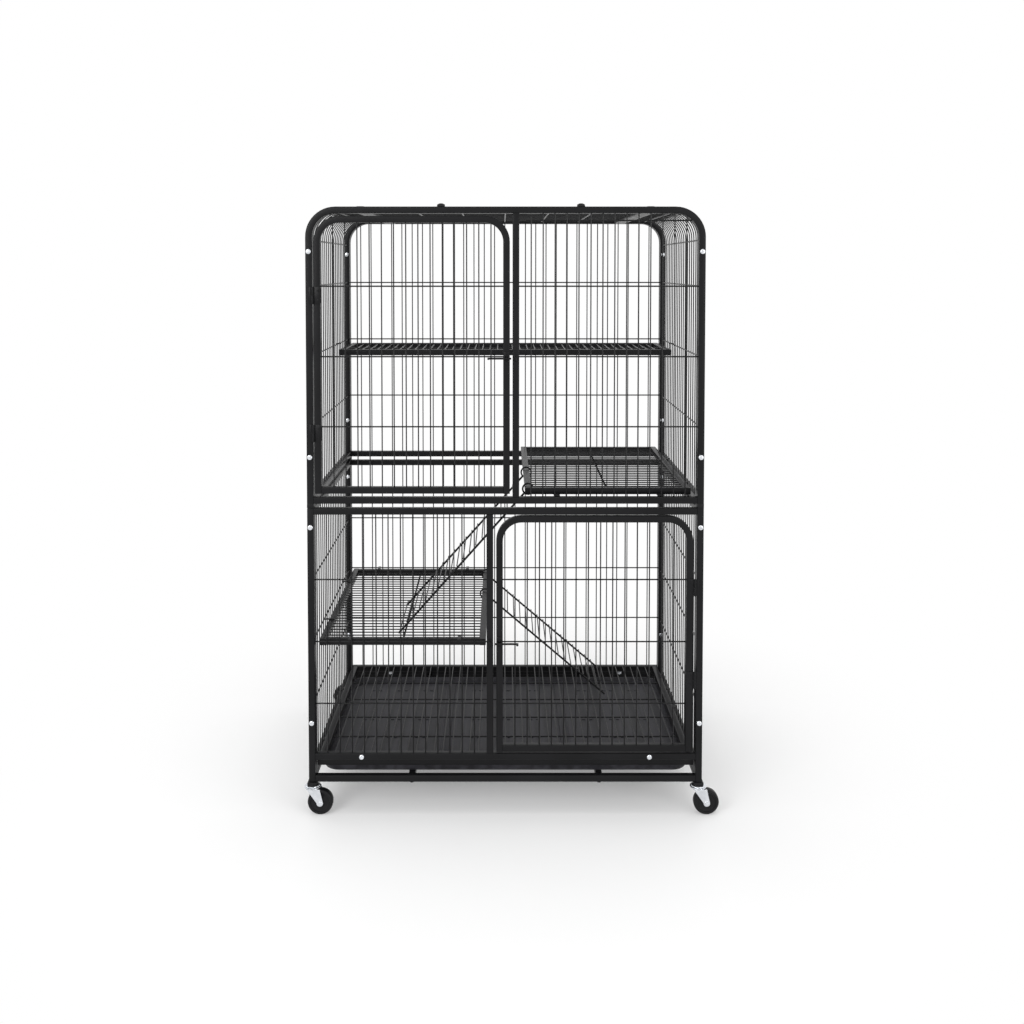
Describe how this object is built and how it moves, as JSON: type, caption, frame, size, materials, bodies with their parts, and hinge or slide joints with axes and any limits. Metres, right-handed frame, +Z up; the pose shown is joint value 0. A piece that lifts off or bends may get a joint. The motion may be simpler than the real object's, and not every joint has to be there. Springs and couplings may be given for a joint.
{
  "type": "cat cage",
  "caption": "Tall two-section wire pet cage on swivel castors, with hinged front doors, wire shelves, hanging ramps and a pull-out tray.",
  "frame": {"origin": "on the floor, under the middle of the tube frame", "axes": "+X to the right seen from the front, +Y to the back, +Z up; the doors face -Y"},
  "size_m": [0.979, 0.627, 1.3975],
  "materials": {
    "powder_coat": "satin black powder coat",
    "wire_coat": "satin black powder coat over round wire",
    "zinc": "bright zinc plate",
    "black_plastic": "matt moulded plastic",
    "tray_plastic": "fine grained moulded plastic",
    "wheel_plastic": "smooth hard plastic"
  },
  "bodies": {
    "cage": {"lower_front_frame": "powder_coat", "lower_front_mesh": "wire_coat", "lower_back_frame": "powder_coat", "lower_back_mesh": "wire_coat", "lower_left_frame": "powder_coat", "lower_left_mesh": "wire_coat", "lower_right_frame": "powder_coat", "lower_right_mesh": "wire_coat", "base_rails": "powder_coat", "floor_grid_frame": "powder_coat", "floor_grid_wires": "wire_coat", "section_spacers": "black_plastic", "upper_front_frame": "powder_coat", "upper_front_mesh": "wire_coat", "upper_back_frame": "powder_coat", "upper_back_mesh": "wire_coat", "upper_left_frame": "powder_coat", "upper_left_mesh": "wire_coat", "upper_right_frame": "powder_coat", "upper_right_mesh": "wire_coat", "roof_frame": "powder_coat", "roof_mesh": "wire_coat", "roof_straps": "powder_coat", "roof_knobs": "black_plastic", "frame_bolts": "zinc", "frame_nuts": "zinc", "upper_hinge_post_leaves": "powder_coat", "lower_hinge_post_leaves": "powder_coat", "upper_latch_keeper": "powder_coat", "lower_latch_keeper": "powder_coat", "lower_shelf_frame": "powder_coat", "lower_shelf_wires": "wire_coat", "castor_collars": "black_plastic", "castor_stems": "zinc"},
    "upper_door": {"upper_door_frame": "powder_coat", "upper_door_mesh": "wire_coat", "upper_hinge_leaves": "powder_coat", "upper_latch_bracket": "powder_coat"},
    "upper_bolt": {"upper_latch_bolt": "powder_coat"},
    "lower_door": {"lower_door_frame": "powder_coat", "lower_door_mesh": "wire_coat", "lower_hinge_leaves": "powder_coat", "lower_latch_bracket": "powder_coat"},
    "lower_bolt": {"lower_latch_bolt": "powder_coat"},
    "tray": {"tray": "tray_plastic"},
    "upper_shelf": {"upper_shelf_frame": "powder_coat", "upper_shelf_wires": "wire_coat"},
    "mid_shelf": {"mid_shelf_frame": "powder_coat", "mid_shelf_wires": "wire_coat"},
    "upper_ramp": {"upper_ramp": "powder_coat"},
    "lower_ramp": {"lower_ramp": "powder_coat"},
    "front_left_castor": {"front_left_fork": "zinc"},
    "front_left_wheel": {"front_left_wheel": "wheel_plastic"},
    "front_right_castor": {"front_right_fork": "zinc"},
    "front_right_wheel": {"front_right_wheel": "wheel_plastic"},
    "back_left_castor": {"back_left_fork": "zinc"},
    "back_left_wheel": {"back_left_wheel": "wheel_plastic"},
    "back_right_castor": {"back_right_fork": "zinc"},
    "back_right_wheel": {"back_right_wheel": "wheel_plastic"}
  },
  "joints": [
    {"name": "upper_door_hinge", "type": "hinge", "parent": "cage", "child": "upper_door", "pos_m": [-0.4333, -0.3032, 1.035], "axis": [0, 0, -1], "range_deg": [0, 170]},
    {"name": "lower_door_hinge", "type": "hinge", "parent": "cage", "child": "lower_door", "pos_m": [0.4308, -0.3032, 0.42], "axis": [0, 0, 1], "range_deg": [0, 170]},
    {"name": "upper_bolt_slide", "type": "slide", "parent": "upper_door", "child": "upper_bolt", "axis": [1, 0, 0], "range_m": [0, 0.032]},
    {"name": "lower_bolt_slide", "type": "slide", "parent": "lower_door", "child": "lower_bolt", "axis": [-1, 0, 0], "range_m": [0, 0.032]},
    {"name": "tray_slide", "type": "slide", "parent": "cage", "child": "tray", "axis": [0, -1, 0], "range_m": [0, 0.48]},
    {"name": "upper_shelf_lift", "type": "slide", "parent": "cage", "child": "upper_shelf", "axis": [0, 0, 1], "range_m": [0, 0.1]},
    {"name": "mid_shelf_lift", "type": "slide", "parent": "cage", "child": "mid_shelf", "axis": [0, 0, 1], "range_m": [0, 0.1]},
    {"name": "upper_ramp_hinge", "type": "hinge", "parent": "mid_shelf", "child": "upper_ramp", "pos_m": [0.0525, -0.144, 0.7405], "axis": [0, 1, 0], "range_deg": [0, 60]},
    {"name": "lower_ramp_hinge", "type": "hinge", "parent": "cage", "child": "lower_ramp", "pos_m": [-0.0525, 0.157, 0.3925], "axis": [0, -1, 0], "range_deg": [0, 60]},
    {"name": "front_left_swivel", "type": "hinge", "parent": "cage", "child": "front_left_castor", "pos_m": [-0.4425, -0.2925, 0.06], "axis": [0, 0, 1], "continuous": true},
    {"name": "front_left_roll", "type": "hinge", "parent": "front_left_castor", "child": "front_left_wheel", "pos_m": [-0.4245, -0.2925, 0.029], "axis": [0, 1, 0], "continuous": true},
    {"name": "front_right_swivel", "type": "hinge", "parent": "cage", "child": "front_right_castor", "pos_m": [0.4425, -0.2925, 0.06], "axis": [0, 0, 1], "continuous": true},
    {"name": "front_right_roll", "type": "hinge", "parent": "front_right_castor", "child": "front_right_wheel", "pos_m": [0.4605, -0.2925, 0.029], "axis": [0, 1, 0], "continuous": true},
    {"name": "back_left_swivel", "type": "hinge", "parent": "cage", "child": "back_left_castor", "pos_m": [-0.4425, 0.2925, 0.06], "axis": [0, 0, 1], "continuous": true},
    {"name": "back_left_roll", "type": "hinge", "parent": "back_left_castor", "child": "back_left_wheel", "pos_m": [-0.4605, 0.2925, 0.029], "axis": [0, 1, 0], "continuous": true},
    {"name": "back_right_swivel", "type": "hinge", "parent": "cage", "child": "back_right_castor", "pos_m": [0.4425, 0.2925, 0.06], "axis": [0, 0, 1], "continuous": true},
    {"name": "back_right_roll", "type": "hinge", "parent": "back_right_castor", "child": "back_right_wheel", "pos_m": [0.4245, 0.2925, 0.029], "axis": [0, 1, 0], "continuous": true}
  ]
}
